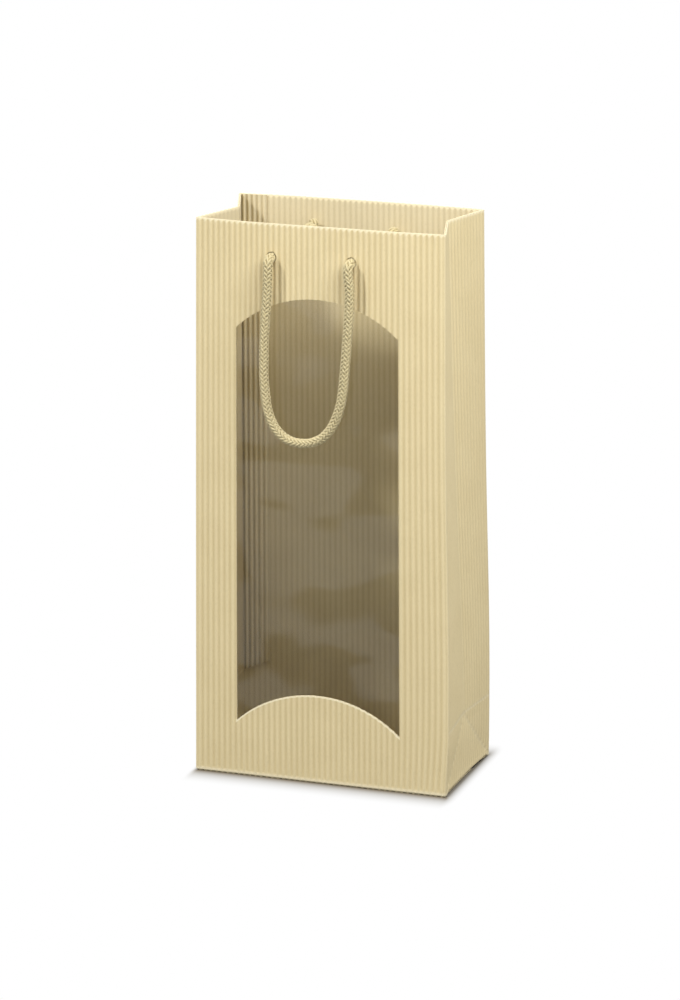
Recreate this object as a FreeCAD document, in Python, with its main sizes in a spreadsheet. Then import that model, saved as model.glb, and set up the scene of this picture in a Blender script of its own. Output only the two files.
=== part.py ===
import FreeCAD, Part
import math
import os
import Sketcher

# A standing carrier for two bottles, folded from fluted board, with a filmed window and two cord handles.
# Millimetres. It stands on z = 0, x runs across the front, and the window looks towards -y.

size = {
    # the folded bag, measured outside
    "bag_width": 180,
    "bag_depth": 90,
    "bag_height": 385,
    "board": 1.6,
    # the flutes of the wide panels: from valley to valley, and the rounded valley between two crests
    "flute_pitch": 4.02,
    "flute_depth": 0.75,
    "valley_width": 2.4,
    # how far the side creases are pinched in
    "gusset_pinch": 10,
    # the window, a little off the middle: its straight sides run from window_low above the bottom to
    # window_drop below the rim, and both its ends arch up by window_rise
    "window_width": 116,
    "window_shift": -1.5,
    "window_low": 39,
    "window_drop": 72,
    "window_rise": 23,
    "film_thick": 0.2,
    "film_margin": 12,
    # the punched handle holes, one pair in the front panel and one in the back panel
    "hole_spacing": 57,
    "handle_shift": -5,
    "hole_drop": 22.5,
    "hole_clearance": 0.3,
    # the handle cords and their stopper knots
    "cord_diameter": 6.5,
    "elbow_stand": 6,
    "cord_gap": 0.3,
    "knot_diameter": 16,
    "tail_length": 20,
    # the glued bottom and the glued side seam
    "flap_overlap": 24,
    "flap_gap": 0.3,
    "tuck_reach": 55,
    "tuck_taper": 12,
    "seam_width": 16,
    "seam_taper": 8,
}

doc = FreeCAD.newDocument("bottle_carrier")
sheet = doc.addObject("Spreadsheet::Sheet", "sizes")
for row, (alias, value) in enumerate(size.items(), start=1):
    sheet.set(f"A{row}", alias)
    sheet.set(f"B{row}", str(value))
    sheet.setAlias(f"B{row}", alias)
doc.recompute()

# Lengths that several pieces share, as expressions on the sheet.
half_width = "sizes.bag_width / 2"
half_depth = "sizes.bag_depth / 2"
inner_depth = f"({half_depth} - sizes.board)"
# A gusset leans in by this much per millimetre, and its board is thicker when measured along x.
slope = "(2 * sizes.gusset_pinch / sizes.bag_depth)"
board_across = f"sizes.board * sqrt(1 + {slope}^2)"
# The bottom layers end short of the leaning walls.
bottom_half = f"({half_width} - {board_across} - 3 * sizes.board * {slope} - sizes.flap_gap)"
window_high = "(sizes.bag_height - sizes.window_drop)"
hole_height = "(sizes.bag_height - sizes.hole_drop)"
hole_radius = "(sizes.cord_diameter / 2 + sizes.hole_clearance)"
# The valleys to each side of a panel's middle one. The crest at each end stays clear of the fold.
side_valleys = f"floor({half_width} / sizes.flute_pitch - 1)"
valley_reach = f"({side_valleys} * sizes.flute_pitch)"
# The bottom is three layers of board: the front flap lowest, the rear flap on it, the tucks on top.
front_layer, rear_layer, tuck_layer = 0, 1, 2
# An arc of a cord starts this share of the shorter run away from its corner.
arc_share = 0.45

pieces = []


def add_body(node):
    body = doc.addObject("PartDesign::Body", node)
    body.Label = node
    pieces.append(body)
    return body


def add_part(kind, node):
    part = doc.addObject(kind, node)
    part.Label = node
    return part


def bind(item, expressions):
    for name, expression in expressions.items():
        item.setExpression(name, expression)


def add_sketch(body, role, name, offset="0"):
    sketch = body.newObject("Sketcher::SketchObject", f"{body.Name}_{name}")
    plane = [item for item in body.Origin.OriginFeatures if item.Role == role][0]
    sketch.AttachmentSupport = [(plane, "")]
    sketch.MapMode = "FlatFace"
    sketch.setExpression("AttachmentOffset.Base.z", offset)
    return sketch


def pin_point(sketch, edge, end, across, along):
    point = sketch.getPoint(edge, end)
    for kind, start, expression in (("DistanceX", point.x, across), ("DistanceY", point.y, along)):
        index = sketch.addConstraint(Sketcher.Constraint(kind, -1, 1, edge, end, start))
        sketch.setExpression(f"Constraints[{index}]", expression)


def draw_outline(sketch, corners):
    # The corners start evenly round a circle, and their constraints carry them to their places.
    count = len(corners)
    turn = 2 * math.pi / count
    start = [FreeCAD.Vector(math.cos(turn * i), math.sin(turn * i), 0) * size["board"] for i in range(count)]
    edges = [sketch.addGeometry(Part.LineSegment(start[i], start[(i + 1) % count])) for i in range(count)]
    for i in range(count):
        sketch.addConstraint(Sketcher.Constraint("Coincident", edges[i], 2, edges[(i + 1) % count], 1))
    for edge, (across, along) in zip(edges, corners):
        pin_point(sketch, edge, 1, across, along)


def draw_rectangle(sketch, left, right, low, high):
    draw_outline(sketch, [(left, low), (right, low), (right, high), (left, high)])


def arc_radius(half, rise):
    # An arc that stands this far above the middle of a chord.
    return (half ** 2 + rise ** 2) / (2 * rise)


def bind_arc_radius(sketch, arc, radius, chord, rise):
    index = sketch.addConstraint(Sketcher.Constraint("Radius", arc, radius))
    sketch.setExpression(f"Constraints[{index}]", f"(({chord} / 2)^2 + {rise}^2) / (2 * {rise})")


def draw_window(sketch):
    half = size["window_width"] / 2
    middle = size["window_shift"]
    rise = size["window_rise"]
    radius = arc_radius(half, rise)
    reach = math.asin(half / radius)
    low = size["window_low"]
    high = size["bag_height"] - size["window_drop"]
    sides = []
    for side in (1, -1):
        foot = FreeCAD.Vector(middle + side * half, low, 0)
        head = FreeCAD.Vector(middle + side * half, high, 0)
        edge = sketch.addGeometry(Part.LineSegment(foot, head))
        across = f"sizes.window_shift + {side} * sizes.window_width / 2"
        pin_point(sketch, edge, 1, across, "sizes.window_low")
        pin_point(sketch, edge, 2, across, window_high)
        sides.append(edge)
    for end, height in ((1, low), (2, high)):
        centre = FreeCAD.Vector(middle, height + rise - radius, 0)
        circle = Part.Circle(centre, FreeCAD.Vector(0, 0, 1), radius)
        arc = sketch.addGeometry(Part.ArcOfCircle(circle, math.pi / 2 - reach, math.pi / 2 + reach))
        sketch.addConstraint(Sketcher.Constraint("Coincident", arc, 1, sides[0], end))
        sketch.addConstraint(Sketcher.Constraint("Coincident", arc, 2, sides[1], end))
        bind_arc_radius(sketch, arc, radius, "sizes.window_width", "sizes.window_rise")


def hole_across(side):
    return f"(sizes.handle_shift + {side} * sizes.hole_spacing / 2)"


def draw_handle_holes(sketch):
    for side in (-1, 1):
        centre = FreeCAD.Vector(side * size["hole_spacing"] / 2, size["bag_height"] - size["hole_drop"], 0)
        circle = Part.Circle(centre, FreeCAD.Vector(0, 0, 1), size["cord_diameter"] / 2)
        edge = sketch.addGeometry(circle)
        pin_point(sketch, edge, 3, hole_across(side), hole_height)
        index = sketch.addConstraint(Sketcher.Constraint("Radius", edge, size["cord_diameter"] / 2))
        sketch.setExpression(f"Constraints[{index}]", hole_radius)


def add_pad(body, sketch, length):
    pad = body.newObject("PartDesign::Pad", f"{body.Name}_pad")
    pad.Profile = sketch
    pad.setExpression("Length", length)
    sketch.Visibility = False
    return pad


def draw_valley(sketch, end):
    # The section of the first valley: a chord on the outer face, and an arc that dips into the board.
    half = size["valley_width"] / 2
    depth = size["flute_depth"]
    radius = arc_radius(half, depth)
    reach = 2 * math.atan(depth / half)
    face = end * size["bag_depth"] / 2
    middle = FreeCAD.Vector(-sketch.evalExpression(valley_reach), face + end * (radius - depth), 0)
    circle = Part.Circle(middle, FreeCAD.Vector(0, 0, 1), radius)
    inward = -end * math.pi / 2
    arc = sketch.addGeometry(Part.ArcOfCircle(circle, inward - reach, inward + reach))
    chord = sketch.addGeometry(Part.LineSegment(sketch.getPoint(arc, 2), sketch.getPoint(arc, 1)))
    sketch.addConstraint(Sketcher.Constraint("Coincident", arc, 2, chord, 1))
    sketch.addConstraint(Sketcher.Constraint("Coincident", arc, 1, chord, 2))
    for point, side in ((1, end), (2, -end)):
        across = f"{side} * sizes.valley_width / 2 - {valley_reach}"
        pin_point(sketch, chord, point, across, f"{end} * {half_depth}")
    bind_arc_radius(sketch, arc, radius, "sizes.valley_width", "sizes.flute_depth")


def cut_flutes(body, end):
    # Valleys run up the outer face from the foot to the rim, and leave the crests between them.
    doc.recompute()
    smooth = body.Shape.Volume
    sketch = add_sketch(body, "XY_Plane", "valley")
    draw_valley(sketch, end)
    valley = body.newObject("PartDesign::Pocket", f"{body.Name}_valley_cut")
    valley.Profile = sketch
    valley.Type = "ThroughAll"
    valley.Reversed = True
    sketch.Visibility = False
    flutes = body.newObject("PartDesign::LinearPattern", f"{body.Name}_flutes")
    flutes.Originals = [valley]
    axis = [item for item in body.Origin.OriginFeatures if item.Role == "X_Axis"][0]
    flutes.Direction = (axis, [""])
    flutes.Mode = "Spacing"
    bind(flutes, {"Offset": "sizes.flute_pitch", "Occurrences": f"2 * {side_valleys} + 1"})
    body.Tip = flutes
    doc.recompute()
    one_valley = sheet.valley_width * sheet.flute_depth * sheet.bag_height / 2
    if smooth - body.Shape.Volume < one_valley:
        raise RuntimeError(f"{body.Label}: the flutes cut nothing")


def wide_panel(node, end, windowed):
    # A full-width panel: the sketch plane looks towards -y, and the pad grows that way.
    body = add_body(node)
    sketch = add_sketch(body, "XZ_Plane", "outline", inner_depth if end < 0 else f"-{half_depth}")
    draw_rectangle(sketch, f"-{half_width}", half_width, "0", "sizes.bag_height")
    draw_handle_holes(sketch)
    if windowed:
        draw_window(sketch)
    add_pad(body, sketch, "sizes.board")
    cut_flutes(body, end)


def gusset_half(node, side, end):
    # From a wide panel to the side crease. Its lower edge is the diagonal down to the bottom corner.
    wall = f"({half_width} - {slope} * sizes.board)"
    crease = f"({half_width} - sizes.gusset_pinch)"
    wall_faces = [f"{side} * {wall}", f"{side} * ({wall} - {board_across})"]
    crease_faces = [f"{side} * {crease}", f"{side} * ({crease} - {board_across})"]
    if side > 0:
        wall_faces.reverse()
        crease_faces.reverse()
    wall_end = (wall_faces, "sizes.board")
    crease_end = (crease_faces, half_depth)
    near, far = (wall_end, crease_end) if end < 0 else (crease_end, wall_end)
    panel = add_part("Part::Wedge", node)
    pieces.append(panel)
    bind(panel, {
        "Ymin": f"-{inner_depth}" if end < 0 else "0",
        "Ymax": "0" if end < 0 else inner_depth,
        "Xmin": near[0][0],
        "Xmax": near[0][1],
        "Zmin": near[1],
        "Zmax": "sizes.bag_height",
        "X2min": far[0][0],
        "X2max": far[0][1],
        "Z2min": far[1],
        "Z2max": "sizes.bag_height",
    })


def gusset_base(node, side):
    # The triangle between the two diagonals. It leans in from the bottom edge to the foot of the crease.
    body = add_body(node)
    section = add_sketch(body, "XZ_Plane", "section")
    foot = f"{side} * {half_width}"
    top = f"{side} * ({half_width} - sizes.gusset_pinch)"
    inward = f"{side} * {board_across}"
    draw_outline(section, [
        (foot, "0"),
        (top, half_depth),
        (f"{top} - {inward}", half_depth),
        (f"{foot} - {inward}", "0"),
    ])
    pad = add_pad(body, section, f"2 * {inner_depth}")
    pad.SideType = "Symmetric"
    doc.recompute()
    full = body.Shape.Volume
    notch = add_sketch(body, "YZ_Plane", "notch")
    draw_outline(notch, [
        (f"-{half_depth}", "0"),
        ("0", half_depth),
        (half_depth, "0"),
        (half_depth, "sizes.bag_depth"),
        (f"-{half_depth}", "sizes.bag_depth"),
    ])
    pocket = body.newObject("PartDesign::Pocket", f"{node}_pocket")
    pocket.Profile = notch
    pocket.Type = "ThroughAll"
    pocket.SideType = "Symmetric"
    notch.Visibility = False
    doc.recompute()
    if body.Shape.Volume >= full:
        raise RuntimeError(f"{node}: the diagonals cut nothing")


def bottom_flap(node, end, layer):
    # Hinged on a wide panel, it reaches past the middle so that the two flaps overlap.
    body = add_body(node)
    sketch = add_sketch(body, "XY_Plane", "outline", f"{layer} * sizes.board")
    wall = f"{end} * {inner_depth}"
    free = f"{-end} * sizes.flap_overlap / 2"
    draw_rectangle(sketch, f"-{bottom_half}", bottom_half, wall, free)
    add_pad(body, sketch, "sizes.board")


def bottom_tuck(node, side):
    # Hinged on a gusset base and glued on top of the flaps, with tapered sides.
    body = add_body(node)
    sketch = add_sketch(body, "XY_Plane", "outline", f"{tuck_layer} * sizes.board")
    wall = f"{side} * {bottom_half}"
    free = f"{side} * ({bottom_half} - sizes.tuck_reach)"
    wide = f"({inner_depth} - sizes.flap_gap)"
    narrow = f"({wide} - sizes.tuck_taper)"
    draw_outline(sketch, [(wall, f"-{wide}"), (wall, wide), (free, narrow), (free, f"-{narrow}")])
    add_pad(body, sketch, "sizes.board")


def seam_flap(node):
    # The strip that closes the tube: glued inside the back panel, beside the left gusset, up to the rim.
    body = add_body(node)
    sketch = add_sketch(body, "XZ_Plane", "outline", f"-{inner_depth}")
    wall = f"-({half_width} - {board_across} - 2 * sizes.board * {slope} - sizes.flap_gap)"
    free = f"{wall} + sizes.seam_width"
    draw_outline(sketch, [
        (wall, half_depth),
        (free, f"{half_depth} + sizes.seam_taper"),
        (free, "sizes.bag_height"),
        (wall, "sizes.bag_height"),
    ])
    add_pad(body, sketch, "sizes.board")


def window_film(node):
    film = add_part("Part::Box", node)
    pieces.append(film)
    width = "(sizes.window_width + 2 * sizes.film_margin)"
    top = f"({window_high} + sizes.window_rise + sizes.film_margin)"
    low = "(sizes.window_low - sizes.film_margin)"
    bind(film, {
        "Length": width,
        "Width": "sizes.film_thick",
        "Height": f"{top} - {low}",
        "Placement.Base.x": f"sizes.window_shift - {width} / 2",
        "Placement.Base.y": f"-{inner_depth}",
        "Placement.Base.z": low,
    })


def cord_end(node, side, end):
    # The fixed end of a cord: a stopper knot inside the panel, the stub through its hole, and the round
    # elbow outside it that the free cord hangs from.
    across = hole_across(side)
    knot_middle = f"({inner_depth} - sizes.knot_diameter / 2)"
    elbow_depth = f"({half_depth} + sizes.elbow_stand)"
    knot = add_part("Part::Sphere", f"{node}_knot")
    bind(knot, {
        "Radius": "sizes.knot_diameter / 2",
        "Placement.Base.x": across,
        "Placement.Base.y": f"{end} * {knot_middle}",
        "Placement.Base.z": hole_height,
    })
    stub = add_part("Part::Cylinder", f"{node}_stub")
    stub.Placement.Rotation = FreeCAD.Rotation(FreeCAD.Vector(1, 0, 0), -90 * end)
    bind(stub, {
        "Radius": "sizes.cord_diameter / 2",
        "Height": f"{elbow_depth} - {knot_middle}",
        "Placement.Base.x": across,
        "Placement.Base.y": f"{end} * {knot_middle}",
        "Placement.Base.z": hole_height,
    })
    elbow = add_part("Part::Sphere", f"{node}_elbow")
    bind(elbow, {
        "Radius": "sizes.cord_diameter / 2",
        "Placement.Base.x": across,
        "Placement.Base.y": f"{end} * {elbow_depth}",
        "Placement.Base.z": hole_height,
    })
    tail = add_part("Part::Cylinder", f"{node}_tail")
    bind(tail, {
        "Radius": "sizes.cord_diameter / 2",
        "Height": "sizes.tail_length",
        "Placement.Base.x": across,
        "Placement.Base.y": f"{end} * {knot_middle}",
        "Placement.Base.z": f"{hole_height} - sizes.tail_length",
    })
    fused = add_part("Part::MultiFuse", node)
    fused.Shapes = [knot, stub, elbow, tail]
    pieces.append(fused)


def rounded_path(points):
    # Straight runs joined by tangent arcs, each as large as its two runs allow.
    edges = []
    radii = []
    last = points[0]
    for before, corner, after in zip(points, points[1:], points[2:]):
        come = corner - before
        leave = after - corner
        setback = arc_share * min(come.Length, leave.Length)
        turn = come.getAngle(leave)
        come.normalize()
        leave.normalize()
        radius = setback / math.tan(turn / 2)
        inside = leave - come
        inside.normalize()
        middle = corner + inside * radius * (1 / math.cos(turn / 2) - 1)
        begin = corner - come * setback
        finish = corner + leave * setback
        edges.append(Part.LineSegment(last, begin).toShape())
        edges.append(Part.Arc(begin, middle, finish).toShape())
        radii.append(radius)
        last = finish
    edges.append(Part.LineSegment(last, points[-1]).toShape())
    return Part.Wire(edges), radii


def handle_cord(node, end, left_leg, right_leg):
    # The free cord of one handle, a loop from elbow to elbow. A leg's points are offsets from its own
    # elbow: across, and down, with the distance of the cord's middle line from the panel between them.
    elbow_z = sheet.bag_height - sheet.hole_drop
    panel_y = end * sheet.bag_depth / 2
    radius = sheet.cord_diameter / 2
    top = (0, sheet.elbow_stand, radius + sheet.cord_gap)
    points = []
    for side, leg in ((-1, [top] + left_leg), (1, right_leg + [top])):
        elbow_x = sheet.handle_shift + side * sheet.hole_spacing / 2
        for across, stand, down in leg:
            points.append(FreeCAD.Vector(elbow_x + across, panel_y + end * stand, elbow_z - down))
    path, radii = rounded_path(points)
    circle = Part.Circle(points[0], points[1] - points[0], radius)
    shell = Part.BRepOffsetAPI.MakePipeShell(path)
    shell.add(Part.Wire(circle.toShape()))
    shell.build()
    shell.makeSolid()
    cord = add_part("Part::Feature", node)
    cord.Shape = shell.shape()
    pieces.append(cord)
    expected = math.pi * radius ** 2 * path.Length
    print(f"{node}: length {path.Length:.1f}, volume {cord.Shape.Volume:.0f}, expected {expected:.0f}")
    print(f"{node}: radii", ", ".join(f"{value:.0f}" for value in radii))


wide_panel("front_panel", -1, True)
wide_panel("back_panel", 1, False)
for side, side_name in ((1, "right"), (-1, "left")):
    gusset_half(f"{side_name}_gusset_front", side, -1)
    gusset_half(f"{side_name}_gusset_rear", side, 1)
    gusset_base(f"{side_name}_gusset_base", side)
    bottom_tuck(f"bottom_{side_name}_tuck", side)
bottom_flap("bottom_front_flap", -1, front_layer)
bottom_flap("bottom_rear_flap", 1, rear_layer)
seam_flap("seam_flap")
window_film("window_film")
for end, end_name in ((-1, "front"), (1, "rear")):
    for side, side_name in ((-1, "left"), (1, "right")):
        cord_end(f"{end_name}_{side_name}_cord_end", side, end)

handle_cord(
    "front_handle_cord",
    -1,
    [(-2, 6.6, 21.5), (-5.2, 6.2, 53.5), (-7.8, 5.6, 85.5), (-4, 5, 110), (9, 4.7, 123.5)],
    [(-31.2, 4.7, 124.5), (-16.5, 5, 116.5), (-6.7, 5.5, 96.5)]
    + [(-2.7, 6, 70.5), (-0.2, 6.4, 42.5), (1, 6.5, 19.5)],
)
handle_cord(
    "rear_handle_cord",
    1,
    [(-1, 6.5, 22), (-2.5, 6.3, 54), (-3, 5.7, 86), (1.5, 5.1, 109), (14, 4.8, 122)],
    [(-27, 4.7, 123.5), (-12.5, 4.9, 115.5), (-2.5, 5.4, 96.5)]
    + [(2, 5.9, 71), (3, 6.3, 43), (1.6, 6.4, 20)],
)

doc.recompute()
for item in doc.Objects:
    if "Invalid" in item.State or "Error" in item.State:
        raise RuntimeError(f"{item.Label} failed")
for piece in pieces:
    if piece.Shape.isNull() or not piece.Shape.isValid():
        raise RuntimeError(f"{piece.Label} has no valid shape")
    if len(piece.Shape.Solids) != 1:
        raise RuntimeError(f"{piece.Label} is not one solid")

os.makedirs("parts", exist_ok=True)
for piece in pieces:
    piece.Shape.exportStep(f"parts/{piece.Label}.step")
    box = piece.Shape.BoundBox
    print(f"{piece.Label}: {box.XLength:.1f} x {box.YLength:.1f} x {box.ZLength:.1f}")
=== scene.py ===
import bpy
import bmesh
import math
import random
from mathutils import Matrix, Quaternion, Vector
from mathutils.kdtree import KDTree


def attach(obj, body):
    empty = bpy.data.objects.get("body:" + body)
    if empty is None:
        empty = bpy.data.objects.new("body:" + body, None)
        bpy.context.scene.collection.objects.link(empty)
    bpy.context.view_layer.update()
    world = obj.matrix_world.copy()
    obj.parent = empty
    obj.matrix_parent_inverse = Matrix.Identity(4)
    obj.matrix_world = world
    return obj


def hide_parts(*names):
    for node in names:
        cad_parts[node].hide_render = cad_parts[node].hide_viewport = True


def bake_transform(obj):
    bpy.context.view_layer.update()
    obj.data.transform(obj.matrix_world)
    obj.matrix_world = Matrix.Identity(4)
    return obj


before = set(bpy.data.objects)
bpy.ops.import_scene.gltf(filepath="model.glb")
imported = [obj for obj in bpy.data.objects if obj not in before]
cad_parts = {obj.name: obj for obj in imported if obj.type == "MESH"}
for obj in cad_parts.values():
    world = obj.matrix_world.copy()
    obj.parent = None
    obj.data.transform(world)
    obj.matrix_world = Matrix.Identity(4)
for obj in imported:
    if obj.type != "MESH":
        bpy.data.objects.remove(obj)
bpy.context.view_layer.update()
mm = 0.001  # sizes below are in millimetres, meshes in metres
scene = bpy.context.scene
scene.view_settings.view_transform = "Standard"
random.seed(7)


def smoothStep(low, high, value):
    share = min(1.0, max(0.0, (value - low) / (high - low)))
    return share * share * (3 - 2 * share)


def softMin(first, second, width):
    # the smaller of two numbers, with the corner between them rounded
    gap = first - second
    return (first + second - math.sqrt(gap * gap + width * width)) / 2


def directionTo(azimuth, elevation):
    # degrees, seen from the bag: 0 is straight in front of it, and left is negative
    turn, lift = math.radians(azimuth), math.radians(elevation)
    return Vector((math.sin(turn) * math.cos(lift), -math.cos(turn) * math.cos(lift), math.sin(lift)))


def addObject(name, data):
    item = bpy.data.objects.new(name, data)
    scene.collection.objects.link(item)
    return item


def meshFrom(bm, name, finishes):
    mesh = bpy.data.meshes.new(name)
    bm.to_mesh(mesh)
    bm.free()
    for finish in finishes:
        mesh.materials.append(finish)
    return mesh


# camera at the photograph's angle
cameraSetup = {
    "yaw": 19.27,
    "pitch": 15.72,
    "roll": -0.18,
    "distance": 3000.0,
    "target": (-0.93, 0.0, 187.25),
    "lens": 159.75,
    "sensor": 36.0,
    "clipEnd": 100.0,  # metres
}


def placeCamera(setup):
    back = directionTo(setup["yaw"], setup["pitch"])
    data = bpy.data.cameras.new("camera")
    data.lens = setup["lens"]
    data.sensor_fit = "AUTO"
    data.sensor_width = setup["sensor"]
    data.clip_end = setup["clipEnd"]
    camera = addObject("camera", data)
    camera.rotation_mode = "QUATERNION"
    camera.location = (Vector(setup["target"]) + back * setup["distance"]) * mm
    roll = Quaternion((0, 0, 1), math.radians(setup["roll"]))
    camera.rotation_quaternion = (-back).to_track_quat("-Z", "Y") @ roll
    scene.camera = camera


placeCamera(cameraSetup)
print("camera placed")


# finishes
def newFinish(name, roughness=1.0):
    material = bpy.data.materials.new(name)
    material.use_nodes = True
    shader = material.node_tree.nodes["Principled BSDF"]
    shader.inputs["Roughness"].default_value = roughness
    return material, material.node_tree, shader


def addNode(tree, kind, **values):
    node = tree.nodes.new(kind)
    for name, value in values.items():
        setattr(node, name, value)
    return node


def addNoise(tree, scale, detail, stretch=(1, 1, 1)):
    place = addNode(tree, "ShaderNodeTexCoord")
    turn = addNode(tree, "ShaderNodeMapping")
    turn.inputs["Scale"].default_value = stretch
    noise = addNode(tree, "ShaderNodeTexNoise")
    noise.inputs["Scale"].default_value = scale
    noise.inputs["Detail"].default_value = detail
    tree.links.new(place.outputs["Object"], turn.inputs["Vector"])
    tree.links.new(turn.outputs["Vector"], noise.inputs["Vector"])
    return noise.outputs["Fac"]


def addRamp(tree, factor, stops):
    ramp = addNode(tree, "ShaderNodeValToRGB")
    while len(ramp.color_ramp.elements) < len(stops):
        ramp.color_ramp.elements.new(0.5)
    for element, (position, colour) in zip(ramp.color_ramp.elements, stops):
        element.position = position
        element.color = (*colour, 1)
    tree.links.new(factor, ramp.inputs["Fac"])
    return ramp.outputs["Color"]


def feed(tree, socket, value):
    # another node's output is linked, a plain value is set
    if isinstance(value, bpy.types.NodeSocket):
        tree.links.new(value, socket)
    elif socket.type == "RGBA":
        socket.default_value = (*value, 1)
    else:
        socket.default_value = value


def addMix(tree, factor, first, second, blend="MIX"):
    mix = addNode(tree, "ShaderNodeMix", data_type="RGBA", blend_type=blend)
    for name, value in (("Factor", factor), ("A", first), ("B", second)):
        feed(tree, mix.inputs[name], value)
    return mix.outputs["Result"]


def addMath(tree, operation, *values):
    node = addNode(tree, "ShaderNodeMath", operation=operation)
    for socket, value in zip(node.inputs, values):
        feed(tree, socket, value)
    return node.outputs["Value"]


def addVectorMath(tree, operation, *values):
    node = addNode(tree, "ShaderNodeVectorMath", operation=operation)
    for socket, value in zip(node.inputs, values):
        feed(tree, socket, value)
    return node.outputs["Value" if operation == "LENGTH" else "Vector"]


def addFade(tree, value, low, high, first=0.0, last=1.0, curve="SMOOTHSTEP"):
    fade = addNode(tree, "ShaderNodeMapRange", interpolation_type=curve)
    for name, limit in (("From Min", low), ("From Max", high), ("To Min", first), ("To Max", last)):
        fade.inputs[name].default_value = limit
    tree.links.new(value, fade.inputs["Value"])
    return fade.outputs["Result"]


def addMixShader(tree, factor, first, second):
    mix = addNode(tree, "ShaderNodeMixShader")
    for socket, value in zip(mix.inputs, (factor, first, second)):
        tree.links.new(value, socket)
    return mix.outputs["Shader"]


def addBump(tree, shader, height, strength, distance):
    bump = addNode(tree, "ShaderNodeBump")
    bump.inputs["Strength"].default_value = strength
    bump.inputs["Distance"].default_value = distance
    tree.links.new(height, bump.inputs["Height"])
    tree.links.new(bump.outputs["Normal"], shader.inputs["Normal"])


boardLook = {
    "roughness": 0.8,
    "cloud": (40, 3),  # scale and detail of the noise that tints the paper
    "fibre": (1600, 3, (1, 1, 0.3)),  # the fibres run up the bag
    "fibreBump": (0.15, 0.0001),  # strength, and depth in metres
    "fleck": 0.7,  # how strongly the fibres show
    "flecks": [(0.3, (0.93, 0.92, 0.9)), (0.5, (1, 1, 1)), (0.72, (1.02, 1.02, 1.03))],
    "pale": (0.785, 0.665, 0.398),
    "deep": (0.755, 0.635, 0.373),
    "linerPale": (0.715, 0.625, 0.415),
    "linerDeep": (0.68, 0.59, 0.385),
    "valley": (0.84, 0.82, 0.77),  # painted shade: multiplies the paper between two crests
    # painted shade in the liner's shallow valleys
    "linerValleyShade": (0.87, 0.85, 0.81),
    # painted shade, darker: the seam flap's valleys, shaded by the side wall near the corner
    "seamValleyShade": (0.52, 0.47, 0.38),
    "wornAndLit": (0.93, 0.84, 0.60),  # paler along folds, scores, the rim, the foot and the window's lower arc: wear, with painted highlights on the scores, the rim's crests and the arc
    "cutRoughness": 0.9,
    "cutGrain": (1500, 3),
    "cutBump": (0.4, 0.0002),
    "cutPale": (0.93, 0.84, 0.60),
    "cutDeep": (0.80, 0.68, 0.44),
    "litArc": 1.25,  # width of the pale band along the window's lower arc: paler cut board, with a painted highlight where the upturned cut edge catches the light
    "litArcEnd": (0.3, 1.2),  # it fades out between these distances past the arc and the sides
}
# the opening, which the front panel's finish needs as well as its cutter
window = {"middle": -1.5, "half": 58.0, "low": 39.0, "high": 313.0, "rise": 23.0, "arcSteps": 40}
window["radius"] = (window["half"] ** 2 + window["rise"] ** 2) / (2 * window["rise"])


def addLitArc(tree, shape, width, ends):
    # 1 beside the lower arc, fading into the panel below it: where the painted highlight goes
    spot = addNode(tree, "ShaderNodeTexCoord").outputs["Object"]
    middle = Vector((shape["middle"], 0, shape["low"] + shape["rise"] - shape["radius"])) * mm
    spot = addVectorMath(tree, "SUBTRACT", spot, middle)
    spot = addVectorMath(tree, "MULTIPLY", spot, (1, 0, 1))
    reach = addVectorMath(tree, "LENGTH", spot)
    aside = addVectorMath(tree, "MULTIPLY", spot, (1, 0, 0))
    aside = addVectorMath(tree, "LENGTH", aside)
    near = addFade(tree, reach, (shape["radius"] - width) * mm, (shape["radius"] - width * 0.5) * mm)
    for value, edge in ((reach, shape["radius"]), (aside, shape["half"])):
        start, stop = ((edge + past) * mm for past in ends)
        within = addFade(tree, value, start, stop, 1.0, 0.0)
        near = addMath(tree, "MULTIPLY", near, within)
    return near


def boardFinish(name, look, deep, pale, valley, litArc=False):
    material, tree, shader = newFinish(name, look["roughness"])
    cloud = addNoise(tree, *look["cloud"])
    paper = addRamp(tree, cloud, [(0.3, look[deep]), (0.7, look[pale])])
    fibre = addNoise(tree, *look["fibre"])
    specks = addRamp(tree, fibre, look["flecks"])
    paper = addMix(tree, look["fleck"], paper, specks, "MULTIPLY")
    # painted shade: the paper is darker down in the flute valleys
    flute = addNode(tree, "ShaderNodeAttribute", attribute_name="flute")
    groove = addRamp(tree, flute.outputs["Fac"], [(0.0, look[valley]), (0.85, (1, 1, 1))])
    paper = addMix(tree, 1.0, paper, groove, "MULTIPLY")
    # paler where worn, with painted highlights along the scores and on the rim's crests
    wearAndHighlight = addNode(tree, "ShaderNodeAttribute", attribute_name="wearAndHighlight")
    paper = addMix(tree, wearAndHighlight.outputs["Fac"], paper, look["wornAndLit"])
    # a pale band along the window's lower arc, partly painted highlight
    if litArc:
        litArcMask = addLitArc(tree, window, look["litArc"], look["litArcEnd"])
        paper = addMix(tree, litArcMask, paper, look["wornAndLit"])
    tree.links.new(paper, shader.inputs["Base Color"])
    addBump(tree, shader, fibre, *look["fibreBump"])
    return material


def cutEdgeFinish(look):
    material, tree, shader = newFinish("boardCutEdge", look["cutRoughness"])
    grain = addNoise(tree, *look["cutGrain"])
    edge = addRamp(tree, grain, [(0.35, look["cutDeep"]), (0.6, look["cutPale"])])
    tree.links.new(edge, shader.inputs["Base Color"])
    addBump(tree, shader, grain, *look["cutBump"])
    return material


cordLook = {
    "pale": (0.62, 0.533, 0.308),
    "deep": (0.515, 0.436, 0.244),
    "gap": (0.58, 0.52, 0.39),  # painted shade: multiplies the yarn down between the strands
    "roughness": 0.92,
    "fuzz": (1400, 4),
    "fuzzBump": (0.5, 0.0003),
    "sheen": 0.15,
    "sheenRoughness": 0.5,
}


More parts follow.
